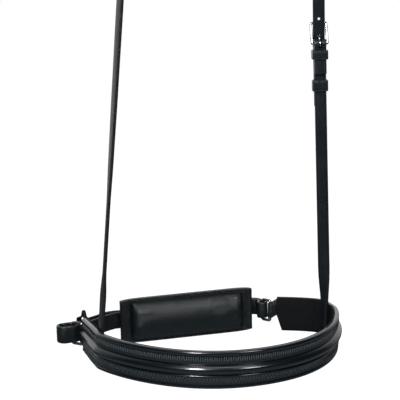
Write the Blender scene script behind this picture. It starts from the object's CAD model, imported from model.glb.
import math

import bmesh
import bpy
from mathutils import Matrix, Vector, noise as noiseField


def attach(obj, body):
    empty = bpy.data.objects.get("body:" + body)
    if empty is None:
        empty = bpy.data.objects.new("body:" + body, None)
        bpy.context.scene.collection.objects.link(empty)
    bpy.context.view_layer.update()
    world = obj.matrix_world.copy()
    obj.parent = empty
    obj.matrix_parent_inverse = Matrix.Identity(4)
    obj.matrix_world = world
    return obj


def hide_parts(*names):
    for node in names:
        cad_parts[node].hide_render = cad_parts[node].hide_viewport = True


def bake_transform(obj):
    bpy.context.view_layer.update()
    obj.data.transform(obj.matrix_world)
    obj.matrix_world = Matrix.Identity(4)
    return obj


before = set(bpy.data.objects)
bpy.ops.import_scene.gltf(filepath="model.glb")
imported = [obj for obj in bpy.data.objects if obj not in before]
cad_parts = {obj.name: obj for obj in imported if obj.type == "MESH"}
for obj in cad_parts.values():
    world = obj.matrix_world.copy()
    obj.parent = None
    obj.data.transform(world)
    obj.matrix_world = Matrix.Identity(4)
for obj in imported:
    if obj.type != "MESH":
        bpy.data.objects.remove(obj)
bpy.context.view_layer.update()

up = Vector((0, 0, 1))
forward = Vector((0, -1, 0))
sideways = Vector((1, 0, 0))
noseband = bpy.data.collections.new("noseband")
bpy.context.scene.collection.children.link(noseband)

# Camera, fitted to the photograph
cameraSettings = {
    "place": (-0.4742, -1.2228, -0.0255),
    "yaw": math.radians(20.48),
    "pitch": math.radians(12.73),
    "lens": 122.1,
}


def addCamera(settings):
    yaw, pitch = settings["yaw"], settings["pitch"]
    look = Vector((
        math.sin(yaw) * math.cos(pitch), math.cos(yaw) * math.cos(pitch), -math.sin(pitch)))
    right = Vector((math.cos(yaw), -math.sin(yaw), 0))
    data = bpy.data.cameras.new("camera")
    data.lens = settings["lens"]
    data.clip_start = 0.01
    item = bpy.data.objects.new("camera", data)
    bpy.context.scene.collection.objects.link(item)
    turn = Matrix((right, right.cross(look), -look)).transposed().to_4x4()
    item.matrix_world = Matrix.Translation(settings["place"]) @ turn
    bpy.context.scene.camera = item


addCamera(cameraSettings)
bpy.context.scene.view_settings.view_transform = "Standard"
print("camera placed")


# Nodes and materials
# Gives the node its inputs: a socket is linked, anything else is the value itself.
def feed(tree, item, inputs):
    for label, value in inputs.items():
        if isinstance(value, bpy.types.NodeSocket):
            tree.links.new(value, item.inputs[label])
        else:
            item.inputs[label].default_value = value


def addNode(tree, kind, inputs, **settings):
    item = tree.nodes.new(kind)
    for label, value in settings.items():
        setattr(item, label, value)
    feed(tree, item, inputs)
    return item


def newMaterial(name):
    material = bpy.data.materials.new(name)
    material.use_nodes = True
    return material, material.node_tree, material.node_tree.nodes["Principled BSDF"]


def mixedColour(tree, factor, first, second):
    colours = {0: factor, 6: (*first, 1), 7: (*second, 1)}
    return addNode(tree, "ShaderNodeMix", colours, data_type="RGBA").outputs[2]


def spread(tree, value, low, high, fromLow=0.0, fromHigh=1.0):
    scale = addNode(tree, "ShaderNodeMapRange", {
        "Value": value, "From Min": fromLow, "From Max": fromHigh, "To Min": low, "To Max": high})
    return scale.outputs["Result"]


def noise(tree, place, scale, detail):
    item = addNode(tree, "ShaderNodeTexNoise", {"Vector": place, "Scale": scale, "Detail": detail})
    return item.outputs["Fac"]


grainShape = {
    "fineRatio": 2.7, "crackWidth": 0.22, "mottleDetail": 4, "fineDetail": 3,
    "mottleSpan": (0.3, 0.7),
}


# Grain of small cells, slow mottling, and a little roughness change.
def leather(name, settings):
    material, tree, shader = newMaterial(name)
    place = addNode(tree, "ShaderNodeTexCoord", {}).outputs["Object"]
    cells = addNode(
        tree, "ShaderNodeTexVoronoi", {"Vector": place, "Scale": settings["grainPerMetre"]},
        feature="DISTANCE_TO_EDGE")
    mottle = noise(tree, place, settings["mottlePerMetre"], grainShape["mottleDetail"])
    finePerMetre = settings["grainPerMetre"] * grainShape["fineRatio"]
    fine = noise(tree, place, finePerMetre, grainShape["fineDetail"])
    grain = spread(tree, cells.outputs["Distance"], 0, 1, 0, grainShape["crackWidth"])
    heights = addNode(tree, "ShaderNodeMath", {0: grain, 1: fine}, operation="ADD")
    bump = addNode(tree, "ShaderNodeBump", {
        "Strength": settings["bump"], "Distance": settings["bumpDepth"],
        "Height": heights.outputs[0]})
    feed(tree, shader, {
        "Base Color": mixedColour(tree, mottle, settings["dark"], settings["light"]),
        "Roughness": spread(
            tree, mottle, settings["smoothest"], settings["roughest"], *grainShape["mottleSpan"]),
        "Coat Weight": settings["coat"], "Coat Roughness": settings["coatRough"],
        "Coat IOR": settings["coatIor"], "Specular IOR Level": settings["specular"],
        "Normal": bump.outputs["Normal"]})
    return material


plainLook = {"coat": 0, "coatRough": 0.3, "coatIor": 1.5, "specular": 0.5, "bumpDepth": 0.0003}
patentLook = {
    "grainPerMetre": 260, "mottlePerMetre": 30,
    "dark": (0.001, 0.0025, 0.005), "light": (0.003, 0.006, 0.0095),
    "smoothest": 0.30, "roughest": 0.38, "coat": 1, "coatRough": 0.16, "coatIor": 1.65,
    "specular": 0.12, "bump": 0.04, "bumpDepth": 0.0002,
}
bridleLook = {
    **plainLook, "grainPerMetre": 1300, "mottlePerMetre": 60,
    "dark": (0.003, 0.005, 0.0075), "light": (0.006, 0.010, 0.014),
    "smoothest": 0.34, "roughest": 0.46, "coat": 0.2, "coatRough": 0.25, "specular": 0.3,
    "bump": 0.25, "bumpDepth": 0.0002,
}
softLook = {
    **plainLook, "grainPerMetre": 1100, "mottlePerMetre": 45,
    "dark": (0.002, 0.0045, 0.0055), "light": (0.005, 0.009, 0.0105),
    "smoothest": 0.25, "roughest": 0.36, "bump": 0.4,
}
liningLook = {
    **plainLook, "grainPerMetre": 1500, "mottlePerMetre": 80,
    "dark": (0.0025, 0.0032, 0.0042), "light": (0.006, 0.0075, 0.0095),
    "smoothest": 0.55, "roughest": 0.75, "specular": 0.13, "bump": 0.45,
}
edgeLook = {
    **plainLook, "grainPerMetre": 2200, "mottlePerMetre": 150,
    "dark": (0.006, 0.006, 0.008), "light": (0.012, 0.012, 0.015),
    "smoothest": 0.28, "roughest": 0.4, "coat": 0.3, "coatRough": 0.2, "specular": 0.4,
    "bump": 0.25, "bumpDepth": 0.0001,
}
threadLook = {
    **plainLook, "grainPerMetre": 3000, "mottlePerMetre": 200,
    "dark": (0.015, 0.017, 0.020), "light": (0.04, 0.045, 0.05),
    "smoothest": 0.35, "roughest": 0.5, "bump": 0.3, "bumpDepth": 0.0001,
}
fancyThreadLook = {**threadLook, "dark": (0.042, 0.052, 0.056), "light": (0.095, 0.115, 0.12)}
lowerThreadLook = {**threadLook, "dark": (0.02, 0.027, 0.03), "light": (0.05, 0.063, 0.068)}
foamLook = {
    **plainLook, "grainPerMetre": 2000, "mottlePerMetre": 100,
    "dark": (0.12, 0.12, 0.12), "light": (0.18, 0.18, 0.18),
    "smoothest": 0.8, "roughest": 0.9, "specular": 0.3, "bump": 0.5,
}
patent = leather("patentLeather", patentLook)
bridle = leather("bridleLeather", bridleLook)
softLeather = leather("softLeather", softLook)
lining = leather("liningLeather", liningLook)
edgePaint = leather("edgePaint", edgeLook)
thread = leather("thread", threadLook)
foam = leather("foam", foamLook)
fancyThread = leather("fancyThread", fancyThreadLook)
lowerThread = leather("lowerThread", lowerThreadLook)

silverLook = {
    "colour": (0.72, 0.72, 0.71), "dull": (0.5, 0.5, 0.5), "smoothest": 0.13, "roughest": 0.24,
    "marksPerMetre": 350, "marksDetail": 5, "marksSpan": (0.3, 0.7),
}
dullSilverLook = {
    **silverLook, "colour": (0.42, 0.43, 0.43), "dull": (0.25, 0.26, 0.26), "smoothest": 0.2,
    "roughest": 0.32,
}


def polishedMetal(name, settings):
    material, tree, shader = newMaterial(name)
    place = addNode(tree, "ShaderNodeTexCoord", {}).outputs["Object"]
    marks = noise(tree, place, settings["marksPerMetre"], settings["marksDetail"])
    feed(tree, shader, {
        "Base Color": mixedColour(tree, marks, settings["dull"], settings["colour"]),
        "Roughness": spread(
            tree, marks, settings["smoothest"], settings["roughest"], *settings["marksSpan"]),
        "Metallic": 1})
    return material


silver = polishedMetal("silverMetal", silverLook)
dullSilver = polishedMetal("dullSilver", dullSilverLook)
print("materials made")


# Steps that curves and corners are drawn in
steps = {
    "deeCorner": 12, "buckleCorner": 10, "keeperCorner": 8, "pinSides": 28, "wireRound": 6,
    "noseSection": 3, "chapeLeg": 8, "chapeTurn": 20, "offArch": 15, "nearArch": 18, "billet": 9,
    "twistSpan": 6, "straight": 12, "strapTurn": 22, "bendTurn": 14, "foldTurn": 26, "chinRun": 8,
    "tongueCoil": 24, "tongue": 4, "seam": 12, "padEdge": 60,
}


# Shared shape tools
# A place measured from the middle of the nosepiece, between the hangers.
def at(side, back, rise):
    return Vector((side, back, rise - crownHeight))


# Points along a Catmull-Rom curve through the given ones.
def smooth(points, count):
    ends = [points[0] * 2 - points[1], *points, points[-1] * 2 - points[-2]]
    found = []
    for i in range(len(points) - 1):
        a, b, c, d = ends[i:i + 4]
        for step in range(count):
            t = step / count
            square = a * 2 - b * 5 + c * 4 - d
            cube = b * 3 - a - c * 3 + d
            found.append((b * 2 + (c - a) * t + square * t**2 + cube * t**3) / 2)
    return [*found, points[-1]]


def bezier(start, first, second, end, count):
    found = []
    for step in range(count):
        t = step / count
        s = 1 - t
        found.append(start * s**3 + first * 3 * s**2 * t + second * 3 * s * t**2 + end * t**3)
    return found


# Part of a circle, its angle measured from the arm towards the side.
def partTurn(middle, arm, side, start, stop, count):
    found = []
    for step in range(count + 1):
        angle = start + (stop - start) * step / count
        found.append(middle + arm * math.cos(angle) + side * math.sin(angle))
    return found


def halfTurn(middle, arm, side, count):
    return partTurn(middle, arm, side, 0, math.pi, count)


def eased(share):
    share = min(1, max(0, share))
    return share * share * (3 - 2 * share)


# A rectangle with round corners, in order round it.
def ringPoints(middle, wideWay, deepWay, halfWide, halfDeep, corner, count):
    found = []
    for quarter in range(4):
        wideSide = (1, -1, -1, 1)[quarter]
        deepSide = (1, 1, -1, -1)[quarter]
        for step in range(count + 1):
            angle = math.pi / 2 * (quarter + step / count)
            wide = wideSide * (halfWide - corner) + corner * math.cos(angle)
            deep = deepSide * (halfDeep - corner) + corner * math.sin(angle)
            found.append(middle + wideWay * wide + deepWay * deep)
    return found


def linked(name, mesh, *materials):
    item = bpy.data.objects.new(name, mesh)
    noseband.objects.link(item)
    for material in materials:
        mesh.materials.append(material)
    return item


# The object's mesh as its modifiers leave it.
def evaluated(item):
    bpy.context.view_layer.update()
    graph = bpy.context.evaluated_depsgraph_get()
    return bpy.data.meshes.new_from_object(item.evaluated_get(graph))


def meshOf(shape, name):
    mesh = bpy.data.meshes.new(name)
    shape.to_mesh(mesh)
    shape.free()
    return mesh


mergeDistance = 0.000002


# Applies the modifiers, turns faces outward and smooths them.
def settle(item, sharpAngle=40):
    mesh = evaluated(item)
    item.modifiers.clear()
    item.data = mesh
    shape = bmesh.new()
    shape.from_mesh(mesh)
    bmesh.ops.remove_doubles(shape, verts=shape.verts, dist=mergeDistance)
    bmesh.ops.recalc_face_normals(shape, faces=shape.faces)
    shape.to_mesh(mesh)
    shape.free()
    mesh.shade_smooth()
    mesh.set_sharp_from_angle(angle=math.radians(sharpAngle))
    return item


# The piece rides its body, takes its finish from the slot and stands for the CAD nodes.
def assign(item, body, slotName, *nodes):
    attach(item, body)
    if nodes:
        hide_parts(*nodes)
    return item


sectionShares = {
    "mostRound": 0.4, "mostInset": 0.45, "bowFrom": 0.4, "edgeSteps": 4, "leastCosine": 0.75}


# Half widths and heights round a strap: creased on top, round at its edges. Sides are marked.
def strapSection(half, thick, cut):
    t = thick / 2
    r = min(cut["round"], half * sectionShares["mostRound"])
    inset = min(cut["crease"], half * sectionShares["mostInset"])
    groove, groovedBy = cut["grooveHalf"], cut["grooveDepth"]
    top = [(inset - groove, t, 0), (inset, t - groovedBy, 0), (inset + groove, t, 0)]
    rightTop = [(half - x, y, side) for x, y, side in reversed(top)]
    leftTop = [(x - half, y, side) for x, y, side in top]
    last = sectionShares["edgeSteps"] - 1
    angles = [math.pi / 2 * step / last for step in range(last + 1)]
    rightSide = [(half - r + r * math.sin(a), t - r + r * math.cos(a), 1) for a in angles]
    rightSide += [(half - r + r * math.cos(a), r - t - r * math.sin(a), 1) for a in angles]
    leftSide = [(-x, y, side) for x, y, side in reversed(rightSide)]
    bowed = half * sectionShares["bowFrom"]
    middleTop = [(x, t + cut["bow"], 0) for x in (-bowed, 0, bowed)]
    return [*leftTop, *middleTop, *rightTop, *rightSide, (0, -t, 0), *leftSide]


plainCut = {
    "round": 0.0009, "crease": 0.0016, "grooveHalf": 0.0003, "grooveDepth": 0.00022, "bow": 0.00006}
softCut = {
    "round": 0.0011, "crease": 0.0020, "grooveHalf": 0.0004, "grooveDepth": 0.00012, "bow": 0.0001}
thinCut = {
    "round": 0.00045, "crease": 0.0011, "grooveHalf": 0.00025, "grooveDepth": 0.0001, "bow": 0}


# A strap along its middle. Halves are vectors from the middle to one edge.
def strap(name, centres, halves, thick, cut, looks, closed=False, flip=False):
    shape = bmesh.new()
    rows = []
    count = len(centres)
    for i, (middle, half) in enumerate(zip(centres, halves)):
        before = centres[(i - 1) % count] if closed else centres[max(i - 1, 0)]
        after = centres[(i + 1) % count] if closed else centres[min(i + 1, count - 1)]
        into, out = middle - before, after - middle
        ahead = (after - before).normalized()
        across = half.normalized()
        if flip:
            across = -across
        normal = across.cross(ahead).normalized()
        stretch = 1
        if into.length > 0 and out.length > 0:
            stretch = 1 / max(sectionShares["leastCosine"], math.cos(into.angle(out) / 2))
        row = []
        section = strapSection(half.length, thick, cut)
        for x, y, side in section:
            row.append(shape.verts.new(middle + across * x + normal * y * stretch))
        rows.append(row)
    sides = [side for x, y, side in section]
    following = rows[1:] + rows[:1] if closed else rows[1:]
    for row, other in zip(rows, following):
        for i in range(len(row)):
            j = (i + 1) % len(row)
            face = shape.faces.new((row[i], row[j], other[j], other[i]))
            face.material_index = 1 if sides[i] and sides[j] else 0
    if not closed:
        for row in (rows[0], rows[-1]):
            shape.faces.new(row).material_index = 1
    return linked(name, meshOf(shape, name), *looks)


# Half widths of a strap that narrows to a blunt point.
def narrowed(points, half, last):
    found = []
    for middle in points:
        share = min(1, (middle - last).length / pointSizes["length"])
        found.append(
            half * (pointSizes["tipShare"] + (1 - pointSizes["tipShare"]) * math.sqrt(share)))
    return found


# A flat loop round straps. The inside sizes are half of its opening.
def keeper(name, middle, wideWay, deepWay, insideWide, insideDeep, width, looks):
    along = wideWay.cross(deepWay).normalized()
    halfWide = insideWide + keeperThick / 2
    halfDeep = insideDeep + keeperThick / 2
    count = steps["keeperCorner"]
    corners = ringPoints(middle, wideWay, deepWay, halfWide, halfDeep, keeperThick, count)
    points = []
    for i, corner in enumerate(corners):
        points.append(corner)
        if (i + 1) % (count + 1) == 0:
            points.append(corner.lerp(corners[(i + 1) % len(corners)], 0.5))
    halves = [along * width / 2] * len(points)
    return settle(strap(name, points, halves, keeperThick, thinCut, looks, closed=True, flip=True))


def cutAway(item, cutter):
    step = item.modifiers.new("cut", "BOOLEAN")
    step.operation = "DIFFERENCE"
    step.object = cutter
    settle(item)
    bpy.data.objects.remove(cutter)


def pinCutter(middle, axis, radius, depth):
    bpy.ops.mesh.primitive_cylinder_add(vertices=steps["pinSides"], radius=radius, depth=depth)
    item = bpy.context.object
    turn = axis.to_track_quat("Z", "Y").to_matrix().to_4x4()
    item.matrix_world = Matrix.Translation(middle) @ turn
    return item


def boxCutter(middle, directions, sizes):
    bpy.ops.mesh.primitive_cube_add(size=1)
    item = bpy.context.object
    turn = Matrix(directions).transposed().to_4x4()
    item.matrix_world = Matrix.Translation(middle) @ turn @ Matrix.Diagonal((*sizes, 1))
    return item


# Geometry Nodes for what follows a path
def newTree(name, sockets):
    tree = bpy.data.node_groups.new(name, "GeometryNodeTree")
    face = tree.interface
    face.new_socket("Geometry", in_out="INPUT", socket_type="NodeSocketGeometry")
    for label, kind in sockets:
        face.new_socket(label, in_out="INPUT", socket_type=kind)
    face.new_socket("Geometry", in_out="OUTPUT", socket_type="NodeSocketGeometry")
    return tree, tree.nodes.new("NodeGroupInput").outputs


def endTree(tree, geometry, material):
    real = addNode(tree, "GeometryNodeRealizeInstances", {"Geometry": geometry})
    coated = addNode(tree, "GeometryNodeSetMaterial", {
        "Geometry": real.outputs["Geometry"], "Material": material})
    addNode(tree, "NodeGroupOutput", {"Geometry": coated.outputs["Geometry"]})
    return tree


def namedValue(tree, name, kind):
    item = addNode(tree, "GeometryNodeInputNamedAttribute", {"Name": name}, data_type=kind)
    return item.outputs["Attribute"]


stitchBall = {"segments": 8, "rings": 6, "seed": 7}


# A stitch at every pitch along the line, turned from it by Lean, and by Swing to and fro.
def stitchTree():
    tree, given = newTree("stitchRow", (
        ("Pitch", "NodeSocketFloat"), ("Length", "NodeSocketFloat"), ("Width", "NodeSocketFloat"),
        ("Height", "NodeSocketFloat"), ("Lean", "NodeSocketFloat"), ("Swing", "NodeSocketFloat"),
        ("Unevenness", "NodeSocketFloat"), ("Material", "NodeSocketMaterial")))
    line = addNode(tree, "GeometryNodeMeshToCurve", {"Mesh": given["Geometry"]})
    spaced = addNode(
        tree, "GeometryNodeResampleCurve",
        {"Curve": line.outputs["Curve"], "Length": given["Pitch"]}, mode="LENGTH")
    spots = addNode(
        tree, "GeometryNodeCurveToPoints", {"Curve": spaced.outputs["Curve"]}, mode="EVALUATED")
    along = addNode(
        tree, "FunctionNodeAlignRotationToVector", {"Vector": spots.outputs["Tangent"]}, axis="X")
    outward = namedValue(tree, "outward", "FLOAT_VECTOR")
    facing = addNode(
        tree, "FunctionNodeAlignRotationToVector",
        {"Rotation": along.outputs["Rotation"], "Vector": outward}, axis="Z", pivot_axis="X")
    ball = addNode(tree, "GeometryNodeMeshUVSphere", {
        "Segments": stitchBall["segments"], "Rings": stitchBall["rings"], "Radius": 0.5})
    size = addNode(tree, "ShaderNodeCombineXYZ", {
        "X": given["Length"], "Y": given["Width"], "Z": given["Height"]})
    shaped = addNode(tree, "GeometryNodeTransform", {
        "Geometry": ball.outputs["Mesh"], "Scale": size.outputs["Vector"]})
    copies = addNode(tree, "GeometryNodeInstanceOnPoints", {
        "Points": spots.outputs["Points"], "Instance": shaped.outputs["Geometry"],
        "Rotation": facing.outputs["Rotation"]})
    index = addNode(tree, "GeometryNodeInputIndex", {}).outputs["Index"]
    odd = addNode(tree, "ShaderNodeMath", {0: index, 1: 2}, operation="MODULO")
    swung = addNode(tree, "ShaderNodeMapRange", {"Value": odd.outputs["Value"], "To Min": -1})
    leaning = addNode(
        tree, "ShaderNodeMath",
        {0: swung.outputs["Result"], 1: given["Swing"], 2: given["Lean"]},
        operation="MULTIPLY_ADD")
    chance = addNode(
        tree, "FunctionNodeRandomValue", {"Seed": stitchBall["seed"], 3: given["Unevenness"]},
        data_type="FLOAT")
    total = addNode(tree, "ShaderNodeMath", {0: leaning.outputs["Value"], 1: chance.outputs[1]})
    turn = addNode(tree, "ShaderNodeCombineXYZ", {"Z": total.outputs["Value"]})
    turned = addNode(tree, "GeometryNodeRotateInstances", {
        "Instances": copies.outputs["Instances"], "Rotation": turn.outputs["Vector"]})
    return endTree(tree, turned.outputs["Instances"], given["Material"])


# A section carried along the line, scaled by the line's own share.
def sectionTree():
    tree, given = newTree("carriedSection", (
        ("Section", "NodeSocketObject"), ("Material", "NodeSocketMaterial")))
    line = addNode(tree, "GeometryNodeMeshToCurve", {"Mesh": given["Geometry"]})
    level = addNode(
        tree, "GeometryNodeSetCurveNormal", {"Curve": line.outputs["Curve"]}, mode="Z_UP")
    outline = addNode(tree, "GeometryNodeObjectInfo", {"Object": given["Section"]})
    profile = addNode(tree, "GeometryNodeMeshToCurve", {"Mesh": outline.outputs["Geometry"]})
    swept = addNode(tree, "GeometryNodeCurveToMesh", {
        "Curve": level.outputs["Curve"], "Profile Curve": profile.outputs["Curve"],
        "Scale": namedValue(tree, "share", "FLOAT"), "Fill Caps": True})
    return endTree(tree, swept.outputs["Mesh"], given["Material"])


# A line of edges with an attribute value at each point.
def lineMesh(name, points, closed, **attributes):
    mesh = bpy.data.meshes.new(name)
    edges = [(i, i + 1) for i in range(len(points) - 1)]
    if closed:
        edges.append((len(points) - 1, 0))
    mesh.from_pydata(points, edges, [])
    for label, values in attributes.items():
        kind = "FLOAT" if isinstance(values[0], (int, float)) else "FLOAT_VECTOR"
        attribute = mesh.attributes.new(label, kind, "POINT")
        for slot, value in zip(attribute.data, values):
            if kind == "FLOAT":
                slot.value = value
            else:
                slot.vector = value
    return mesh


# The line with the tree's geometry on it, as a plain mesh.
def grown(name, mesh, tree, values, material):
    item = linked(name, mesh)
    step = item.modifiers.new("grown", "NODES")
    step.node_group = tree
    for socket in tree.interface.items_tree:
        if socket.in_out == "INPUT" and socket.name in values:
            step[socket.identifier] = values[socket.name]
    made = evaluated(item)
    item.modifiers.clear()
    item.data = made
    made.materials.clear()
    made.materials.append(material)
    made.shade_smooth()
    return item


stitching = stitchTree()
carrying = sectionTree()


# A row of stitches. Outward is one direction for each point.
def stitchRow(name, points, outward, look, material, body, closed=False):
    mesh = lineMesh(name, points, closed, outward=outward)
    values = {
        "Pitch": look["pitch"], "Length": look["length"], "Width": look["width"],
        "Height": look["height"], "Lean": math.radians(look["lean"]),
        "Swing": math.radians(look["swing"]), "Unevenness": math.radians(look["uneven"]),
        "Material": material,
    }
    item = grown(name, mesh, stitching, values, material)
    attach(item, body)
    return item


# Sizes that several pieces share, as in the CAD model
crownHeight = 0.460  # from the middle of the nosepiece up to the crown's underside
fitGap = 0.0003  # between layers
slipGap = 0.00035  # round what slides or turns
playGap = 0.0006
hangerWidth = 0.012
hangerThick = 0.0030
crankWidth = 0.0175
crankThick = 0.0028
chapeThick = 0.0008
crankChapeThick = 0.0016
keeperThick = 0.0014
keeperWidth = 0.009
pointSizes = {"length": 0.009, "tipShare": 0.3}  # blunt point of both straps

# Nosepiece
noseSizes = {
    "halfWidth": 0.1229, "reach": 0.1048, "halfHeight": 0.0183, "faceReach": 0.0096,
    "wallHalfFlat": 0.0095, "sideHandle": 0.008, "offHandle": 0.087, "nearHandle": 0.0945,
    "offEndBack": 0.042, "offEndShare": 0.93, "taperStart": 0.010, "nearEndSide": 0.0827,
    "nearEndBack": 0.0364, "nearEndHandle": 0.0158, "nearTurn": math.radians(23.2),
    "cutDrop": 0.001, "cutIn": 0.0058, "tuckShare": 0.3375, "innerTrim": 0.0123,
    "stitchTrim": 0.004,
}
noseHalfWidth, noseHalfHeight = noseSizes["halfWidth"], noseSizes["halfHeight"]
faceReach, nearTurn = noseSizes["faceReach"], noseSizes["nearTurn"]
planSteps = {"taper": 12, "offWall": 3, "nose": 46, "nearWall": 4, "nearEnd": 26}
leatherLooks = (bridle, edgePaint)
softLooks = (softLeather, softLeather)
offEnd = at(-noseHalfWidth, noseSizes["offEndBack"], 0)
offTaper = at(-noseHalfWidth, noseSizes["taperStart"], 0)
offWall = at(-noseHalfWidth, -noseSizes["wallHalfFlat"], 0)
nearWall = at(noseHalfWidth, -noseSizes["wallHalfFlat"], 0)
nearBack = at(noseHalfWidth, noseSizes["wallHalfFlat"], 0)
nearEnd = at(noseSizes["nearEndSide"], noseSizes["nearEndBack"], 0)
noseTip = at(0, -noseSizes["reach"], 0)
toward = Vector((0, noseSizes["sideHandle"], 0))
offAcross = Vector((noseSizes["offHandle"], 0, 0))
nearAcross = Vector((noseSizes["nearHandle"], 0, 0))
nearWay = Vector((math.cos(nearTurn), -math.sin(nearTurn), 0)) * noseSizes["nearEndHandle"]
nearOut = Vector((math.sin(nearTurn), math.cos(nearTurn), 0))
plan = []
for step in range(planSteps["taper"]):
    share = step / planSteps["taper"]
    plan.append((
        offEnd.lerp(offTaper, share),
        noseSizes["offEndShare"] + (1 - noseSizes["offEndShare"]) * share))
front = [
    offTaper.lerp(offWall, step / planSteps["offWall"]) for step in range(planSteps["offWall"])]
front += bezier(offWall, offWall - toward, noseTip - offAcross, noseTip, planSteps["nose"])
front += bezier(noseTip, noseTip + nearAcross, nearWall - toward, nearWall, planSteps["nose"])
front += [
    nearWall.lerp(nearBack, step / planSteps["nearWall"]) for step in range(planSteps["nearWall"])]
front += bezier(nearBack, nearBack + toward, nearEnd + nearWay, nearEnd, planSteps["nearEnd"])
plan += [(place, 1) for place in [*front, nearEnd]]


# The path without its first stretch of the given length.
def walked(path, distance):
    left = distance
    for i in range(len(path) - 1):
        (a, aShare), (b, bShare) = path[i], path[i + 1]
        length = (b - a).length
        if length > left:
            part = left / length
            return [(a.lerp(b, part), aShare + (bShare - aShare) * part), *path[i + 1:]]
        left -= length
    return path


# Points along the path at one place of the section, and the outward way at each.
def onNosepiece(path, outShare, highShare):
    places, ways = [], []
    for i, (middle, share) in enumerate(path):
        ahead = path[min(i + 1, len(path) - 1)][0] - path[max(i - 1, 0)][0]
        ahead.z = 0
        out = ahead.cross(up).normalized()
        outward = out * outShare * faceReach * share
        places.append(middle + outward + up * highShare * noseHalfHeight * share)
        ways.append(out)
    return places, ways


# The path without a stretch at each end.
def shortened(path, distance):
    return walked(walked(path, distance)[::-1], distance)[::-1]


trimmed = shortened(plan, noseSizes["innerTrim"])

# Outside of the face from its rolled top edge down to the bottom one, then its inside
faceOutside = (
    (0.22, 0.985), (0.36, 1.0), (0.57, 0.985), (0.635, 0.945), (0.645, 0.86), (0.605, 0.78),
    (0.605, 0.735), (0.612, 0.66), (0.618, 0.56), (0.632, 0.47), (0.668, 0.40), (0.69, 0.34),
    (0.66, 0.285), (0.56, 0.255), (0.60, 0.235), (0.78, 0.20), (0.92, 0.125), (0.985, 0.03),
    (0.985, -0.05), (0.93, -0.13), (0.80, -0.21), (0.64, -0.262), (0.55, -0.285), (0.605, -0.315),
    (0.635, -0.37), (0.645, -0.46), (0.645, -0.56), (0.63, -0.67), (0.60, -0.75), (0.60, -0.79),
    (0.66, -0.855), (0.66, -0.90), (0.625, -0.95), (0.53, -0.985), (0.37, -1.0), (0.22, -0.985))
faceInside = (
    (0.22, -0.92), (0.49, -0.92), (0.49, -0.21), (0.62, -0.19), (0.80, -0.06), (0.80, 0.05),
    (0.62, 0.19), (0.49, 0.21), (0.49, 0.92), (0.22, 0.92))
paddingSection = (
    (0.49, -0.18), (0.60, -0.165), (0.765, -0.05), (0.765, 0.04), (0.60, 0.165), (0.49, 0.18))
backingSection = ((0.22, -0.885), (0.455, -0.885), (0.455, 0.885), (0.22, 0.885))
liningSection = (
    (0, -0.93), (-0.008, -0.5), (-0.012, 0), (-0.008, 0.5), (0, 0.93), (0.02, 0.965), (0.06, 0.985),
    (0.15, 0.99), (0.1875, 0.975), (0.1875, -0.975), (0.15, -0.99), (0.06, -0.985), (0.02, -0.965))


def nosePiece(name, section, path, material, sharpAngle):
    points = [Vector((out * faceReach, high * noseHalfHeight, 0)) for out, high in section]
    outline = linked(name + "Section", lineMesh(name + "Section", points, True))
    outline.hide_render = True
    line = lineMesh(
        name, [place for place, share in path], False, share=[share for place, share in path])
    item = grown(name, line, carrying, {"Section": outline, "Material": material}, material)
    bpy.data.objects.remove(outline)
    return settle(item, sharpAngle)


# A box over the near end's lower corner, which is cut off at a slant.
def nearCorner():
    start = nearEnd - up * noseSizes["cutDrop"]
    stop = nearEnd + nearWay.normalized() * noseSizes["cutIn"] - up * noseHalfHeight
    slant = (stop - start).normalized()
    away = nearOut.cross(slant)
    size = noseHalfHeight * 2
    return boxCutter(
        (start + stop) / 2 + away * size / 2, (slant, away, slant.cross(away)), (size, size, size))


outside = smooth([Vector((out, high, 0)) for out, high in faceOutside], steps["noseSection"])
faceSection = [(place.x, place.y) for place in outside] + list(faceInside)
face = nosePiece("noseFace", faceSection, plan, patent, 50)
noseLining = nosePiece("noseLining", liningSection, plan, lining, 50)
for layer in (face, noseLining):
    cutAway(layer, nearCorner())
assign(face, "nosepiece", "patent_leather", "nosepiece_face")
padding = nosePiece("nosePadding", paddingSection, trimmed, foam, 30)
assign(padding, "nosepiece", "foam", "nosepiece_padding")
backing = nosePiece("noseBacking", backingSection, trimmed, edgePaint, 30)
assign(backing, "nosepiece", "bridle_leather", "nosepiece_backing")
assign(noseLining, "nosepiece", "lining_leather", "nosepiece_lining")
print("nosepiece", [round(size * 1000, 1) for size in face.dimensions])

fancyUpper = {
    "pitch": 0.0022, "length": 0.0052, "width": 0.0011, "height": 0.0008, "lean": 90, "swing": 4,
    "uneven": 4,
}
fancyLower = {**fancyUpper, "pitch": 0.0016, "length": 0.0062, "width": 0.0008, "swing": 14}
for name, outShare, highShare, look, material in (
        ("fancyUpper", 0.625, 0.59, fancyUpper, fancyThread),
        ("fancyLower", 0.65, -0.54, fancyLower, lowerThread)):
    places, ways = onNosepiece(shortened(plan, noseSizes["stitchTrim"]), outShare, highShare)
    stitchRow(name, places, ways, look, material, "nosepiece")
print("nosepiece stitches")

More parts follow.
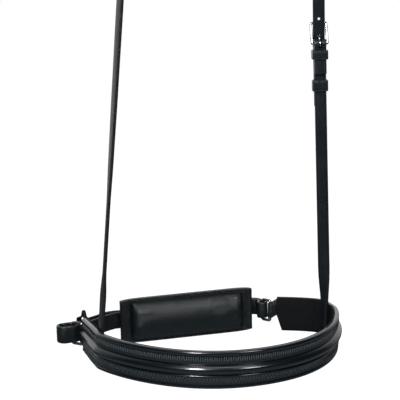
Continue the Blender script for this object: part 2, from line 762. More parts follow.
# Chin pad's place and sizes
padSizes = {
    "side": -0.0082, "back": 0.0648, "rise": 0.001, "turn": -0.091, "roll": 0.023,
    "halfLength": 0.070, "halfHeight": 0.0225, "crown": 0.0125, "skin": 0.0012, "backing": 0.0020,
    "flangeEnd": 0.0100, "flangeSide": 0.0026, "wall": 0.0090, "channel": 0.0007,
    "binding": 0.0011, "keeperPlace": 0.045, "round": 0.07, "longBow": 0.08,
    "channelPlace": 0.86, "channelWide": 0.012, "edgeSeamIn": 0.0017, "fillGap": 0.0006,
    "squareness": 10,
}
padHalfLength, padHalfHeight = padSizes["halfLength"], padSizes["halfHeight"]
padSkin, padBacking = padSizes["skin"], padSizes["backing"]
padChannel, padCrown = padSizes["channel"], padSizes["crown"]
padFlangeEnd, padFlangeSide = padSizes["flangeEnd"], padSizes["flangeSide"]
padGrids = {"face": (140, 56), "filling": (30, 14), "endSeamHalf": 15}
padMiddle = at(padSizes["side"], padSizes["back"], padSizes["rise"])
padLevel = Vector((math.cos(padSizes["turn"]), math.sin(padSizes["turn"]), 0))
padOut = Vector((-math.sin(padSizes["turn"]), math.cos(padSizes["turn"]), 0))
padAlong = padLevel * math.cos(padSizes["roll"]) + up * math.sin(padSizes["roll"])
padUp = up * math.cos(padSizes["roll"]) - padLevel * math.sin(padSizes["roll"])


def atPad(along, back, rise=0):
    return padMiddle + padAlong * along + padOut * back + padUp * rise


# A place level with the middle of the chin strap, which climbs to the near side.
def inLine(side, back):
    place = at(side, back, padSizes["rise"])
    return place + up * (place - padMiddle).dot(padAlong) * math.tan(padSizes["roll"])


# Dees and their chapes
deeSizes = {
    "wire": 0.0015, "sideGap": 0.0007, "corner": 0.0022, "chapeOut": 0.0068, "chapeTuck": 0.012,
    "offChapeHalf": 0.0150, "nearChapeHalf": 0.0090, "nearChapeRise": 0.0073,
    "nearLoopAlong": 0.0812, "nearLoopBack": -0.007,
    "offBarOut": 0.0037, "offBarBack": 0.007, "offReach": (-0.0081, 0.0088, 0),
}
offBar = inLine(
    -noseHalfWidth - deeSizes["offBarOut"], noseSizes["offEndBack"] + deeSizes["offBarBack"])
offFar = offBar + Vector(deeSizes["offReach"])
tuckedEnd = nearEnd + nearOut * noseSizes["tuckShare"] * faceReach
nearBar = tuckedEnd - nearWay.normalized() * deeSizes["chapeOut"]
nearFar = atPad(deeSizes["nearLoopAlong"], deeSizes["nearLoopBack"])
nearBar.z = nearFar.z
deeHalf = crankWidth / 2 + deeSizes["sideGap"] + deeSizes["wire"]
barHalf = deeHalf - deeSizes["corner"] - slipGap


# A round wire along the points.
def wire(name, points, radius, closed, metal=silver):
    curve = bpy.data.curves.new(name, "CURVE")
    curve.dimensions = "3D"
    spline = curve.splines.new("POLY")
    spline.points.add(len(points) - 1)
    for point, place in zip(spline.points, points):
        point.co = (*place, 1)
    spline.use_cyclic_u = closed
    curve.bevel_depth = radius
    curve.bevel_resolution = steps["wireRound"]
    curve.use_fill_caps = not closed
    item = linked(name + "Curve", curve)
    mesh = evaluated(item)
    bpy.data.objects.remove(item)
    mesh.materials.clear()
    return settle(linked(name, mesh, metal))


# A frame of wire with rounded corners, from one bar to the other.
def wireFrame(name, bar, far, wideWay, halfWide, radius, corner, count, metal=silver):
    reach = far - bar
    points = ringPoints(
        (bar + far) / 2, wideWay, reach.normalized(), halfWide, reach.length / 2, corner, count)
    return wire(name, points, radius, True, metal)


for name, bar, far, body, node in (
        ("offDee", offBar, offFar, "off_ring", "off_dee"),
        ("nearDee", nearBar, nearFar, "near_ring", "near_dee")):
    dee = wireFrame(
        name, bar, far, up, deeHalf, deeSizes["wire"], deeSizes["corner"], steps["deeCorner"],
        dullSilver)
    assign(dee, body, "silver_metal", node)


# Thin leather folded round a dee's bar, its legs tucked between the nosepiece's layers.
def deeChape(name, path, outSide, bar, raised, widest, node):
    inner, outer = [], []
    leg = (chapeThick + fitGap) / 2
    for step in range(steps["chapeLeg"] + 1):
        left = deeSizes["chapeTuck"] * (1 - step / steps["chapeLeg"])
        (a, share), (b, ignored) = walked(path, left)[:2]
        normal = (a - b).normalized().cross(up).normalized() * outSide
        tucked = a + normal * noseSizes["tuckShare"] * faceReach * share + up * raised
        inner.append(tucked - normal * leg)
        outer.append(tucked + normal * leg)
    heading = bar - (inner[-1] + outer[-1]) / 2
    heading.z = 0
    heading.normalize()
    side = heading.cross(up).normalized() * outSide
    turn = deeSizes["wire"] + slipGap + chapeThick / 2
    fold = halfTurn(bar, -side * turn, heading * turn, steps["chapeTurn"])
    centres = [*inner, *fold, *reversed(outer)]
    halves = []
    for middle in centres:
        share = min(1, max(0, (middle - bar).dot(-heading) / deeSizes["chapeOut"]))
        halves.append(up * (barHalf + (widest - barHalf) * share))
    item = settle(strap(name, centres, halves, chapeThick, thinCut, softLooks))
    return assign(item, "nosepiece", "soft_leather", node)


deeChape("offDeeChape", plan, -1, offBar, 0, deeSizes["offChapeHalf"], "off_dee_chape")
deeChape(
    "nearDeeChape", plan[::-1], 1, nearBar, deeSizes["nearChapeRise"], deeSizes["nearChapeHalf"],
    "near_dee_chape")
print("dees")

# Sliphead: off hanger, crown and near billet are one strap
hangerSizes = {
    "footGap": 0.0006, "footDepth": 0.0255, "nearLean": 0.0425, "offLean": 0.0743,
    "crownHalfFlat": 0.012, "rows": 96, "bendTop": 0.075,
}
billetSizes = {
    "turn": math.radians(75), "drop": 0.071, "holeRadius": 0.0020, "spareHoleRadius": 0.0014,
    "holePitch": 0.016, "upperPitchRatio": 1.05, "holeShare": 0.385, "holeSink": 0.4,
    "underShare": 0.63, "topShare": 2.2, "turnPace": 1.7, "turnLag": 0.6,
}
cheekSizes = {
    "buckleRise": 0.289, "buckleReach": 0.020, "buckleSideGap": 0.0005, "buckleWire": 0.0013,
    "buckleCorner": 0.0017, "tongueWire": 0.0011, "turnBack": 0.030, "mergeDrop": 0.006,
    "fixedKeeperDrop": 0.011, "looseKeeperDrop": 0.0422, "looseKeeperWidth": 0.011,
    "seamIn": 0.0021, "twistShare": 4.4, "slotShift": 0.3,
}
buckleReach, buckleWire = cheekSizes["buckleReach"], cheekSizes["buckleWire"]
mergeDrop, turnBack = cheekSizes["mergeDrop"], cheekSizes["turnBack"]
tongueWire = cheekSizes["tongueWire"]
billetTurn, billetDrop = billetSizes["turn"], billetSizes["drop"]
nearLean, offLean = hangerSizes["nearLean"], hangerSizes["offLean"]
cheekUp = Vector((-nearLean, 0, 1)).normalized()
cheekSide = Vector((1, 0, nearLean)).normalized()
cheekOut = cheekSide * math.cos(billetTurn) - forward * math.sin(billetTurn)
cheekWidth = forward * math.cos(billetTurn) + cheekSide * math.sin(billetTurn)
footSide = noseHalfWidth - hangerSizes["footGap"] - hangerThick / 2
hangerStart = noseHalfHeight + hangerSizes["footGap"]
footEnd = noseHalfHeight - hangerSizes["footDepth"]
stripHalf = hangerWidth / 2


def hangerSide(rise, lean):
    return footSide - max(0, rise - hangerStart) * lean


cheekMiddle = at(hangerSide(cheekSizes["buckleRise"], nearLean), 0, cheekSizes["buckleRise"])


# A place on the near cheek strap, measured from the buckle's hinge bar.
def atCheek(rise, out):
    return cheekMiddle + cheekUp * rise + cheekOut * out


barIn = -(hangerThick + fitGap) / 2
wrapRadius = buckleWire + slipGap + hangerThick / 2
wrapFront = barIn + wrapRadius
billetOver = wrapFront + hangerThick + slipGap
billetRest = hangerThick + fitGap
billetUnder = hangerThick * billetSizes["underShare"]
freeBarOut = billetUnder + hangerThick / 2 + playGap + buckleWire
crownTop = crownHeight + hangerThick / 2
offTurns = (
    (footEnd / crownHeight, 0), (0.03, 0), (0.075, 0), (0.11, 0.04), (0.17, -0.2), (0.30, -0.2),
    (0.42, -0.04), (0.55, 0.04), (0.72, 0.1), (0.78, 0.11))


# The value at a share, read between the table's rows without corners.
def tableAt(table, share):
    for (a, low), (b, high) in zip(table, table[1:]):
        if share <= b:
            return low + (high - low) * eased((share - a) / (b - a))
    return table[-1][1]


def hangerRow(side, rise, lean, turn):
    middle = at(side * hangerSide(rise, lean), 0, rise)
    return middle, (forward * math.cos(turn) + sideways * math.sin(turn)) * stripHalf


centres, halves = [], []
lowShare, highShare = offTurns[0][0], offTurns[-1][0]
for step in range(hangerSizes["rows"] + 1):
    share = lowShare + (highShare - lowShare) * step / hangerSizes["rows"]
    middle, half = hangerRow(-1, share * crownHeight, offLean, tableAt(offTurns, share))
    centres.append(middle)
    halves.append(half)
crownSide = hangerSide(crownHeight * highShare, offLean)
nearSide = hangerSide(cheekSizes["buckleRise"], nearLean)
lowerRow = hangerRow(-1, offTurns[-2][0] * crownHeight, offLean, 0)[0]
over = [lowerRow, centres[-1]]
for sideShare, riseShare in ((0.93, 0.85), (0.74, 0.925), (0.45, 0.98)):
    over.append(at(-crownSide * sideShare, 0, crownTop * riseShare))
over.append(at(-hangerSizes["crownHalfFlat"], 0, crownTop))
arch = smooth(over, steps["offArch"])[steps["offArch"]:]
for step, middle in enumerate(arch[1:]):
    left = offTurns[-1][1] * (1 - (step + 1) / (len(arch) - 1))
    centres.append(middle)
    halves.append((forward * math.cos(left) + sideways * math.sin(left)) * stripHalf)
over = [at(hangerSizes["crownHalfFlat"], 0, crownTop)]
for sideShare, riseShare in ((0.43, 0.98), (0.74, 0.925), (0.92, 0.85)):
    over.append(at(nearSide * sideShare, 0, crownTop * riseShare))
billetTop = buckleReach * billetSizes["topShare"]
over += [atCheek(billetTop + buckleReach, 0), atCheek(billetTop, 0)]
arch = smooth(over, steps["nearArch"])[:-steps["nearArch"]]
for step, middle in enumerate(arch):
    turned = billetTurn * eased(
        billetSizes["turnPace"] * step / len(arch) - billetSizes["turnLag"])
    ahead = arch[min(step + 1, len(arch) - 1)] - arch[max(step - 1, 0)]
    centres.append(middle)
    turnedWay = forward.cross(ahead).normalized()
    halves.append((forward * math.cos(turned) + turnedWay * math.sin(turned)) * stripHalf)
bends = (
    (billetTop, 0), (buckleReach * 1.5, billetUnder * 0.55), (buckleReach, billetUnder),
    (buckleReach * 0.45, (billetUnder + billetOver) / 2), (0, billetOver),
    (-mergeDrop, billetRest + slipGap), (-mergeDrop * 2, billetRest + slipGap),
    (-billetDrop * 0.6, billetRest + slipGap))
billet = smooth([atCheek(rise, out) for rise, out in bends], steps["billet"])
last = atCheek(-billetDrop, billetRest + slipGap)
for share in (0.72, 0.84, 0.87, 0.9, 0.92, 0.94, 0.955, 0.97, 0.98, 0.99, 0.996, 1):
    billet.append(atCheek(-billetDrop * share, billetRest + slipGap))
centres += billet
halves += narrowed(billet, cheekWidth * stripHalf, last)
sliphead = settle(
    strap("sliphead", centres, halves, hangerThick, plainCut, leatherLooks, flip=True))
steep = atCheek(buckleReach * 0.49, billetOver) - atCheek(buckleReach * 0.27, wrapFront)
holeRise = buckleReach * billetSizes["holeShare"]
spot = atCheek(holeRise, billetOver - hangerThick * billetSizes["holeSink"])
cutAway(sliphead, pinCutter(spot, steep, billetSizes["holeRadius"], billetDrop / 5))
holePitch = billetSizes["holePitch"]
for rise, out in (
        (-2 * holePitch, billetRest), (-holePitch, billetRest),
        (holeRise + holePitch * billetSizes["upperPitchRatio"], billetUnder)):
    cutter = pinCutter(
        atCheek(rise, out), cheekOut, billetSizes["spareHoleRadius"], billetDrop / 6)
    cutAway(sliphead, cutter)
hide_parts("sliphead_strap")
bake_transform(sliphead)

# Near cheek strap, from its foot up round the buckle's hinge bar and back down
centres, halves = [], []
twistShares = (0, 0, 0, 0.06, 0.17, 0.33, 0.52, 0.70, 0.85, 0.95, 1)
twistRise = hangerStart * cheekSizes["twistShare"]
twistRows = steps["twistSpan"] * (len(twistShares) - 1)
for step in range(twistRows + 1):
    rise = footEnd + (twistRise - footEnd) * step / twistRows
    spans = step / steps["twistSpan"]
    low = min(len(twistShares) - 2, int(spans))
    share = twistShares[low] + (twistShares[low + 1] - twistShares[low]) * (spans - low)
    middle, half = hangerRow(1, rise, nearLean, billetTurn * share)
    centres.append(middle)
    halves.append(half)
wrapMiddle = atCheek(0, barIn)
straight = atCheek(-mergeDrop - cheekSizes["looseKeeperDrop"], 0)
for step in range(1, steps["straight"]):
    centres.append(centres[twistRows].lerp(straight, step / steps["straight"]))
loop = [straight, atCheek(-mergeDrop * 4, 0), atCheek(-mergeDrop, 0)]
loop += halfTurn(wrapMiddle, cheekOut * wrapRadius, cheekUp * wrapRadius, steps["strapTurn"])
loop += [
    atCheek(-mergeDrop, barIn * 2), atCheek(-turnBack / 2, barIn * 2),
    atCheek(-turnBack, barIn * 2)]
centres += loop
halves += [cheekWidth * stripHalf] * (len(centres) - len(halves))
cheek = settle(strap("nearCheek", centres, halves, hangerThick, plainCut, leatherLooks))
slotWidth = tongueWire * 2 + slipGap * 2
coil = buckleWire + slipGap + tongueWire
slotLong = (coil + tongueWire + slipGap) * 2
slotShift = hangerThick * cheekSizes["slotShift"]
slotSize = (slotLong + slotShift * 2, slotWidth, wrapRadius * 5)
cutAway(
    cheek, boxCutter(atCheek(slotShift, barIn), (cheekUp, cheekWidth, cheekOut), slotSize))
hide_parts("near_cheek_strap")
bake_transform(cheek)

# Sliphead buckle and keepers
buckle = wireFrame(
    "slipheadBuckle", wrapMiddle, atCheek(buckleReach, freeBarOut), cheekWidth,
    stripHalf + cheekSizes["buckleSideGap"] + buckleWire, buckleWire, cheekSizes["buckleCorner"],
    steps["buckleCorner"])
assign(buckle, "sliphead_buckle", "silver_metal", "sliphead_buckle_frame")
coilAngle = math.radians(250)


# A tongue, coiled round its bar and then through the bends to its tip.
def tongue(name, bar, front, onward, coilRadius, bends, radius):
    points = []
    for step in range(steps["tongueCoil"]):
        angle = coilAngle * (step / steps["tongueCoil"] - 1)
        points.append(
            bar + front * coilRadius * math.cos(angle) + onward * coilRadius * math.sin(angle))
    return wire(name, points + smooth(bends, steps["tongue"]), radius, False)


tipOut = freeBarOut + buckleWire + tongueWire + playGap / 2
bends = [
    atCheek(buckleReach * share, out) for share, out in (
        (0, barIn + coil), (0.17, barIn + coil * 0.93), (0.27, barIn + coil * 1.12),
        (0.49, tipOut * 0.83), (0.62, tipOut), (1.12, tipOut))]
slipheadTongue = tongue(
    "slipheadTongue", wrapMiddle, cheekOut, cheekUp, coil, bends, tongueWire)
assign(slipheadTongue, "sliphead_tongue", "silver_metal", "sliphead_buckle_tongue")
layers = hangerThick / 2 + slipGap
innerOut = barIn * 2 - layers
outerOut = billetRest + slipGap + layers
for name, drop, inner, width, body, node in (
        (
            "slipheadFixedKeeper", cheekSizes["fixedKeeperDrop"], innerOut, keeperWidth, "sliphead",
            "sliphead_fixed_keeper"),
        (
            "slipheadLooseKeeper", cheekSizes["looseKeeperDrop"], -layers,
            cheekSizes["looseKeeperWidth"], "sliphead_keeper", "sliphead_loose_keeper")):
    middle = atCheek(-drop, (outerOut + inner) / 2)
    loop = keeper(
        name, middle, cheekWidth, cheekOut, stripHalf + slipGap, (outerOut - inner) / 2, width,
        leatherLooks)
    assign(loop, body, "bridle_leather", node)
print("sliphead")

# Chin strap: sewn end, near loop, run behind the pad, off fold and the tail through the crank
chinSizes = {
    "nearLoopRoom": 0.0030, "nearBend": 0.0065, "sewnEnd": 0.060, "runEnd": 0.076,
    "foldRadius": 0.0067, "foldOut": 0.0078, "foldBehind": 0.0014, "legEnd": 0.082,
    "tailEnd": 0.042, "crossShare": 0.52,
}
crankSizes = {
    "barAlong": -0.004, "freeAlong": -0.023, "wire": 0.0014, "tongueWire": 0.00095,
    "holeRadius": 0.0019, "chapeLength": 0.024, "fixedKeeperAlong": 0.0125,
    "looseKeeperAlong": 0.0265,
}
nearBend, nearTailEnd = chinSizes["nearBend"], chinSizes["sewnEnd"]
foldRadius, tailLegEnd = chinSizes["foldRadius"], chinSizes["legEnd"]
crankBarAlong, crankFreeAlong = crankSizes["barAlong"], crankSizes["freeAlong"]
crankWire, crankTongueWire = crankSizes["wire"], crankSizes["tongueWire"]
runOut = padBacking + fitGap + keeperThick + slipGap + crankThick / 2
pair = crankThick + fitGap
foldWide = chinSizes["nearLoopRoom"] + crankThick / 2
bendAlong = deeSizes["nearLoopAlong"] - pair / 2 - nearBend
bendPlace = atPad(bendAlong, runOut - nearBend)
wide = nearBend + pair
run = [atPad(nearTailEnd, runOut + pair), atPad(bendAlong, runOut + pair)]
run += partTurn(
    bendPlace, padOut * wide, padAlong * wide, 0, math.pi / 2, steps["bendTurn"])[1:]
run += halfTurn(nearFar, padAlong * foldWide, -padOut * foldWide, steps["strapTurn"])
run += partTurn(
    bendPlace, padAlong * nearBend, padOut * nearBend, 0, math.pi / 2, steps["bendTurn"])
run += [atPad(0.05, runOut), atPad(0, runOut), atPad(-0.045, runOut)]
crossing = offBar.lerp(offFar, chinSizes["crossShare"])
foldMiddle = inLine(offFar.x - chinSizes["foldOut"], offFar.y + chinSizes["foldBehind"])
foldArm = Vector((0, -foldRadius, 0))
runLast = atPad(-chinSizes["runEnd"], runOut)
towardFold = [
    runLast, runLast.lerp(crossing, 0.22) + padOut * crankThick / 3, runLast.lerp(crossing, 0.6),
    crossing, crossing.lerp(foldMiddle + foldArm, 0.55) - padOut * fitGap, foldMiddle + foldArm]
run += smooth(towardFold, steps["chinRun"])[:-1]
run += halfTurn(foldMiddle, foldArm, -sideways * foldRadius, steps["foldTurn"])[:-1]
chapeUnder = runOut + crankThick / 2 + fitGap + crankChapeThick / 2
crankWrap = crankWire + slipGap + crankChapeThick / 2
crankBarOut = chapeUnder + crankWrap
chapeOver = chapeUnder + crankChapeThick + fitGap
tailRest = chapeOver + crankChapeThick / 2 + slipGap + crankThick / 2
crankCoil = crankWire + slipGap + crankTongueWire
tailOver = crankBarOut + crankCoil + crankTongueWire + slipGap + crankThick / 2
crankReach = crankBarAlong - crankFreeAlong
tailUnder = tailRest - slipGap
crankFreeOut = tailUnder + crankThick / 2 + playGap + crankWire
legStart, legEnd = foldMiddle - foldArm, atPad(-tailLegEnd, tailUnder)
backWay = [legStart]
for share, sag in ((0.239, 0.57), (0.433, 0.58), (0.701, 0.34)):
    backWay.append(legStart.lerp(legEnd, share) - padOut * foldRadius * sag)
backWay += [atPad(-tailLegEnd * share, tailUnder) for share in (1, 0.73, 0.37)]
backWay += [
    atPad(crankFreeAlong, tailUnder),
    atPad(crankFreeAlong + crankReach * 0.5, tailUnder + crankThick * 0.75),
    atPad(crankBarAlong, tailOver),
    atPad(crankBarAlong + crankReach * 0.3, tailRest + crankThick * 0.85),
    atPad(crankBarAlong + crankReach * 0.5, tailRest + fitGap)]
run += smooth(backWay, steps["chinRun"])
tailLast = atPad(chinSizes["tailEnd"], tailRest)
tailFrom = atPad(crankBarAlong + crankReach * 0.7, tailRest)
run += [
    tailFrom.lerp(tailLast, share)
    for share in (0, 0.5, 0.78, 0.84, 0.88, 0.92, 0.95, 0.97, 0.985, 0.995, 1)]
halves = narrowed(run, padUp * crankWidth / 2, tailLast)
chinStrap = settle(
    strap("chinStrap", run, halves, crankThick, softCut, (softLeather, edgePaint), flip=True))
steep = atPad(-crankReach * 0.19, crankThick * 1.4) - atPad(0, 0)
spot = atPad(crankBarAlong - crankReach * 0.42, tailUnder + crankThick * 0.8)
cutAway(chinStrap, pinCutter(spot, steep, crankSizes["holeRadius"], crankThick * 4))
assign(chinStrap, "chin", "soft_leather", "chin_strap")

# Crank buckle, its chape and its keepers
crankBar = atPad(crankBarAlong, crankBarOut)
chapeEnd = crankBarAlong + crankSizes["chapeLength"]
chapeLeg = crankBarAlong + crankWrap * 3.4
centres = [atPad(chapeEnd, chapeUnder), atPad(chapeLeg, chapeUnder)]
centres += halfTurn(crankBar, -padOut * crankWrap, -padAlong * crankWrap, steps["chapeTurn"])
centres += [atPad(chapeLeg, chapeOver), atPad(chapeEnd, chapeOver)]
halves = [padUp * (crankWidth / 2 - fitGap)] * len(centres)
crankChape = settle(strap("crankChape", centres, halves, crankChapeThick, thinCut, softLooks))
slotSize = (
    (crankCoil + crankTongueWire + slipGap) * 2, (crankTongueWire + slipGap) * 2, crankWrap * 4)
cutAway(crankChape, boxCutter(crankBar, (padAlong, padUp, -padOut), slotSize))
assign(crankChape, "chin", "soft_leather", "crank_chape")
buckle = wireFrame(
    "crankBuckle", crankBar, atPad(crankFreeAlong, crankFreeOut), padUp,
    crankWidth / 2 + cheekSizes["buckleSideGap"] + crankWire, crankWire,
    cheekSizes["buckleCorner"], steps["buckleCorner"])
assign(buckle, "crank_buckle", "silver_metal", "crank_buckle_frame")
tipOut = crankFreeOut + crankWire + crankTongueWire + playGap / 2
bends = [
    atPad(crankBarAlong - crankReach * share, out) for share, out in (
        (0, crankBarOut + crankCoil), (0.17, crankBarOut + crankCoil * 0.72),
        (0.32, crankBarOut + crankCoil * 0.8), (0.52, tipOut * 0.94), (0.66, tipOut),
        (1.1, tipOut))]
crankTongue = tongue(
    "crankTongue", crankBar, padOut, -padAlong, crankCoil, bends, crankTongueWire)
assign(crankTongue, "crank_tongue", "silver_metal", "crank_buckle_tongue")
innerOut = runOut - crankThick / 2 - slipGap
outerOut = tailRest + crankThick / 2 + slipGap
high = crankWidth / 2 + slipGap
for name, along, body, node in (
        ("crankFixedKeeper", crankSizes["fixedKeeperAlong"], "chin", "crank_fixed_keeper"),
        ("crankLooseKeeper", crankSizes["looseKeeperAlong"], "crank_keeper", "crank_loose_keeper")):
    loop = keeper(
        name, atPad(along, (innerOut + outerOut) / 2), padUp, padOut, high,
        (outerOut - innerOut) / 2, keeperWidth, softLooks)
    assign(loop, body, "soft_leather", node)

# Off side keeper, its empty top pinched to a peak over the strap
peakedKeeper = {
    "half": 0.0085, "top": 0.0195, "turn": math.radians(108), "width": 0.006, "peak": 0.0010,
    "shoulder": 0.004, "tip": 0.35, "in": 0.0061, "behind": 0.0152,
}
keeperWay = Vector((math.cos(peakedKeeper["turn"]), math.sin(peakedKeeper["turn"]), 0))
keeperAlong = up.cross(keeperWay).normalized()
keeperMiddle = inLine(offBar.x + peakedKeeper["in"], offBar.y + peakedKeeper["behind"])
low, deep = high + keeperThick / 2, peakedKeeper["half"] + keeperThick / 2
peak, top = peakedKeeper["peak"] + keeperThick / 2, peakedKeeper["top"]
shoulder = low + peakedKeeper["shoulder"]
corner = keeperThick / 2
side = [
    (0, -low), (deep - corner * 2, -low), (deep - corner * 0.6, -low + corner * 0.6),
    (deep, corner * 2 - low)]
side += [
    (deep, 0), (deep, low - corner), (deep - corner * 0.6, low + corner * 0.3),
    (deep - corner * 2, low + corner)]
side += [
    (peak + corner, shoulder - corner), (peak + corner * 0.3, shoulder), (peak, shoulder + corner)]
side += [
    (peak, (shoulder + top) / 2), (peak, top - corner * 2), (peak * 0.8, top - corner * 0.7),
    (peak * 0.4, top)]
side += [(-out, rise) for out, rise in reversed(side[1:])]
centres = [keeperMiddle + keeperWay * out + up * rise for out, rise in side]
halves = []
for out, rise in side:
    share = max(0, (rise - low) / (top - low))
    halves.append(keeperAlong * peakedKeeper["width"] / 2 * (1 - (1 - peakedKeeper["tip"]) * share))
offKeeper = settle(
    strap(
        "offSideKeeper", centres, halves, keeperThick, thinCut, softLooks, closed=True, flip=True))
assign(offKeeper, "off_keeper", "soft_leather", "off_side_keeper")
print("chin strap and crank")

# Lines of thread that hold the turned back ends, each on the side of the strap that shows
seamStitch = {
    "pitch": 0.0028, "length": 0.0023, "width": 0.0006, "height": 0.0004, "lean": 0, "swing": 0,
    "uneven": 4,
}
stitchLift = 0.0001


def seam(name, start, stop, outward, body):
    count = steps["seam"]
    places = [start.lerp(stop, step / count) + outward * stitchLift for step in range(count + 1)]
    stitchRow(name, places, [outward] * len(places), seamStitch, thread, body)


for side in (-1, 1):
    inset = cheekWidth * side * (stripHalf - cheekSizes["seamIn"])
    under = barIn * 2 - hangerThick / 2
    seam(
        "turnBackSeam", atCheek(-mergeDrop * 1.15, under) + inset,
        atCheek(-turnBack * 0.95, under) + inset, -cheekOut, "sliphead")
    inset = padUp * side * (crankWidth / 2 - cheekSizes["seamIn"])
    over = chapeOver + crankChapeThick / 2
    under = runOut - crankThick / 2
    seam(
        "crankSeam", atPad(crankBarAlong + crankWrap * 3.6, over) + inset,
        atPad(chapeEnd - 0.001, over) + inset, padOut, "chin")
    seam("sewnEndSeam", atPad(nearTailEnd + 0.001, runOut + pair + crankThick / 2) + inset,
         atPad(bendAlong, runOut + pair + crankThick / 2) + inset, padOut, "chin")
    seam(
        "sewnEndSeam", atPad(nearTailEnd + 0.001, under) + inset, atPad(bendAlong, under) + inset,
        -padOut, "chin")
print("seams")


# Chin pad: a padded panel raised from its flange, on a backing, bound at the edge
def padHalfAt(share):
    return padHalfHeight * (1 - padSizes["round"] * abs(share) ** padSizes["squareness"])


# How far the pad's face stands out towards the chin: a roll with rounded ends.
def padRises(along, high, sink):
    fromEnd = padHalfLength - padFlangeEnd - sink - abs(along)
    endShare = min(1, max(0, fromEnd / padSizes["wall"]))
    highShare = min(1, abs(high) / (padHalfHeight - padFlangeSide - sink))
    rounded = math.sqrt(1 - (1 - endShare) ** 2) * math.sqrt(1 - highShare ** 2)
    return (padCrown - sink) * rounded * (1 - padSizes["longBow"] * (along / padHalfLength) ** 2)


padCreases = {
    "deep": 0.0024, "even": 0.06, "fromEnd": 0.034, "alongPerMetre": 48, "highPerMetre": 135,
    "skewPerMetre": 20, "fullRise": 0.6, "seed": 4.0,
}


# Soft folds of the skin, deepest towards the ends of the roll and none on its flat edge.
def creases(along, high):
    settings = padCreases
    fromEnd = padHalfLength - padFlangeEnd - abs(along)
    nearness = max(0, 1 - fromEnd / settings["fromEnd"])
    raised = min(1, padRises(along, high, 0) / (padCrown * settings["fullRise"]))
    skewed = along * settings["alongPerMetre"] + high * settings["skewPerMetre"]
    place = Vector((skewed, high * settings["highPerMetre"], settings["seed"]))
    share = settings["even"] + (1 - settings["even"]) * nearness
    return settings["deep"] * share * raised * noiseField.noise(place)


shape = bmesh.new()
bmesh.ops.create_grid(shape, x_segments=padGrids["face"][0], y_segments=padGrids["face"][1], size=1)
for vert in shape.verts:
    longShare, highShare = vert.co.x, math.sin(vert.co.y * math.pi / 2)
    along, high = longShare * padHalfLength, highShare * padHalfAt(longShare)
    channel = padChannel * 0.5 * math.exp(
        -((abs(longShare) - padSizes["channelPlace"]) / padSizes["channelWide"]) ** 2)
    rises = padRises(along, high, 0) + creases(along, high)
    vert.co = atPad(along, channel - padChannel - fitGap - padSkin / 2 - rises, high)
padFront = linked("padFront", meshOf(shape, "padFront"), softLeather)
skin = padFront.modifiers.new("skin", "SOLIDIFY")
skin.thickness = padSkin
skin.offset = 0
settle(padFront)
assign(padFront, "chin_pad", "soft_leather", "chin_pad_front")


# Extrudes the faces and gives the new points, still where the old ones are.
def pulledOut(shape, faces):
    extruded = bmesh.ops.extrude_face_region(shape, geom=faces)["geom"]
    return [part for part in extruded if isinstance(part, bmesh.types.BMVert)]


shape = bmesh.new()
bmesh.ops.create_grid(
    shape, x_segments=padGrids["filling"][0], y_segments=padGrids["filling"][1], size=1)
fillLong = padHalfLength - padFlangeEnd - padSkin * 2
fillHigh = padHalfHeight - padFlangeSide - padSkin * 2
for vert in shape.verts:
    along, high = vert.co.x * fillLong, vert.co.y * fillHigh
    vert.co = atPad(along, -fitGap * 2 - padRises(along, high, padSkin + padSizes["fillGap"]), high)
for vert in pulledOut(shape, list(shape.faces)):
    vert.co -= padOut * ((vert.co - padMiddle).dot(padOut) + fitGap)
filling = settle(linked("padFilling", meshOf(shape, "padFilling"), foam))
assign(filling, "chin_pad", "foam", "chin_pad_padding")


# Points round the pad's edge.
def padEdge(grow, rise):
    shares = [1 - step / steps["padEdge"] * 2 for step in range(steps["padEdge"] + 1)]
    found = [(share, 1) for share in shares]
    found += [(-1, 1 - step / 10) for step in range(2, 20, 2)]
    found += [(share, -1) for share in reversed(shares)]
    found += [(1, step / 10 - 1) for step in range(2, 20, 2)]
    return [
        atPad(along * (padHalfLength + grow), rise, high * (padHalfAt(along) + grow))
        for along, high in found]


shape = bmesh.new()
face = shape.faces.new([shape.verts.new(place) for place in padEdge(0, 0)])
for vert in pulledOut(shape, [face]):
    vert.co += padOut * padBacking
backing = settle(linked("padBack", meshOf(shape, "padBack"), softLeather))
assign(backing, "chin_pad", "soft_leather", "chin_pad_backing")
padDeep = padBacking + fitGap + padSkin + padChannel
points = padEdge(fitGap + padSizes["binding"] / 2, padBacking - padDeep / 2)
halves = [padOut * (padDeep / 2 + fitGap)] * len(points)
binding = settle(
    strap("padBinding", points, halves, padSizes["binding"], thinCut, softLooks, closed=True))
assign(binding, "chin_pad", "soft_leather", "chin_pad_binding")
padSeamStitch = {**seamStitch, "pitch": 0.0030, "length": 0.0024}
seamFace = -padChannel - fitGap - padSkin
for side in (-1, 1):
    places = []
    along = side * padSizes["channelPlace"] * padHalfLength
    for step in range(padGrids["endSeamHalf"] * 2 + 1):
        high = (step / padGrids["endSeamHalf"] - 1) * (padHalfHeight - padFlangeSide)
        places.append(atPad(along, seamFace + padChannel * 0.5 - padRises(along, high, 0), high))
    stitchRow("padEndSeam", places, [-padOut] * len(places), padSeamStitch, thread, "chin_pad")
places = padEdge(-padSizes["edgeSeamIn"], seamFace)
stitchRow(
    "padEdgeSeam", places, [-padOut] * len(places), padSeamStitch, thread, "chin_pad", closed=True)
deep = crankThick / 2 + slipGap
for name, along, node in (
        ("offPadKeeper", -padSizes["keeperPlace"], "off_pad_keeper"),
        ("nearPadKeeper", padSizes["keeperPlace"], "near_pad_keeper")):
    loop = keeper(
        name, atPad(along, runOut), padUp, padOut, crankWidth / 2 + slipGap, deep, keeperWidth,
        softLooks)
    assign(loop, "chin_pad", "soft_leather", node)
print("chin pad")

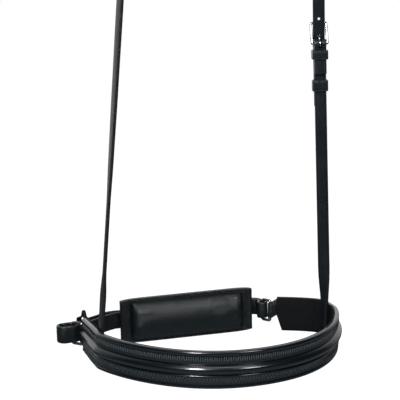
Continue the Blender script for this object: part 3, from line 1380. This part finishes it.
# Studio
studio = {
    "floor": -0.85, "floorSize": 6, "floorColour": (0.185, 0.21, 0.23), "floorRough": 0.9,
    "floorLift": 0.72, "floorFade": (0.25, 0.78),
    "frontLight": 0.02, "backLight": 0.4, "glossBack": 1,
    "softSweep": (-0.1, 0.45), "glossSweep": (0.1, 1), "aim": (0, -0.03, -0.45),
    "softboxes": (
        # name, degrees round from the front, degrees up, distance, width, height, power
        ("leftSoftbox", -37, 38, 1.7, 0.26, 0.75, 25),
        ("rightSoftbox", 18, 36, 1.7, 0.36, 0.7, 8),
        ("topSoftbox", -8, 72, 1.6, 1.3, 0.45, 4),
    ),
}


# A pale floor that takes the light and the shadow, lifted to white for the camera
def paleFloor(settings):
    bpy.ops.mesh.primitive_plane_add(size=settings["floorSize"], location=(0, 0, settings["floor"]))
    floor = bpy.context.object
    material, tree, shader = newMaterial("paleFloor")
    feed(tree, shader, {
        "Base Color": (*settings["floorColour"], 1), "Roughness": settings["floorRough"]})
    place = addNode(tree, "ShaderNodeTexCoord", {}).outputs["Object"]
    fromMiddle = addNode(tree, "ShaderNodeVectorMath", {0: place}, operation="LENGTH")
    whiter = spread(
        tree, fromMiddle.outputs["Value"], settings["floorLift"], 1, *settings["floorFade"])
    seen = addNode(tree, "ShaderNodeLightPath", {}).outputs["Is Camera Ray"]
    strength = addNode(tree, "ShaderNodeMath", {0: seen, 1: whiter}, operation="MULTIPLY")
    lift = addNode(tree, "ShaderNodeEmission", {"Strength": strength.outputs["Value"]})
    added = addNode(tree, "ShaderNodeAddShader", {0: shader.outputs[0], 1: lift.outputs[0]})
    feed(tree, tree.nodes["Material Output"], {"Surface": added.outputs[0]})
    floor.data.materials.append(material)


# White to the camera. Gloss sees that white behind the noseband, and a dim room in front of it
def surroundings(settings):
    world = bpy.data.worlds.new("surroundings")
    bpy.context.scene.world = world
    world.use_nodes = True
    tree = world.node_tree
    way = addNode(tree, "ShaderNodeTexCoord", {}).outputs["Generated"]
    depth = addNode(tree, "ShaderNodeSeparateXYZ", {"Vector": way}).outputs["Y"]
    rays = addNode(tree, "ShaderNodeLightPath", {}).outputs
    front, back, glossBack = settings["frontLight"], settings["backLight"], settings["glossBack"]
    strength = spread(tree, depth, front, back, *settings["softSweep"])
    gloss = spread(tree, depth, front, glossBack, *settings["glossSweep"])
    for kind, value in (
            ("Is Glossy Ray", gloss), ("Is Transmission Ray", gloss), ("Is Camera Ray", 1)):
        chosen = addNode(tree, "ShaderNodeMix", {"Factor": rays[kind], "A": strength, "B": value})
        strength = chosen.outputs["Result"]
    feed(tree, tree.nodes["Background"], {"Color": (1, 1, 1, 1), "Strength": strength})


def softbox(name, around, rise, distance, wide, high, power, aim):
    data = bpy.data.lights.new(name, "AREA")
    data.shape = "RECTANGLE"
    data.size, data.size_y = wide, high
    data.energy = power
    item = bpy.data.objects.new(name, data)
    bpy.context.scene.collection.objects.link(item)
    turn, tilt = math.radians(around), math.radians(rise)
    way = Vector((
        math.sin(turn) * math.cos(tilt), -math.cos(turn) * math.cos(tilt), math.sin(tilt)))
    item.location = Vector(aim) + way * distance
    item.rotation_euler = way.to_track_quat("Z", "Y").to_euler()


paleFloor(studio)
surroundings(studio)
for box in studio["softboxes"]:
    softbox(*box, studio["aim"])
print("studio")
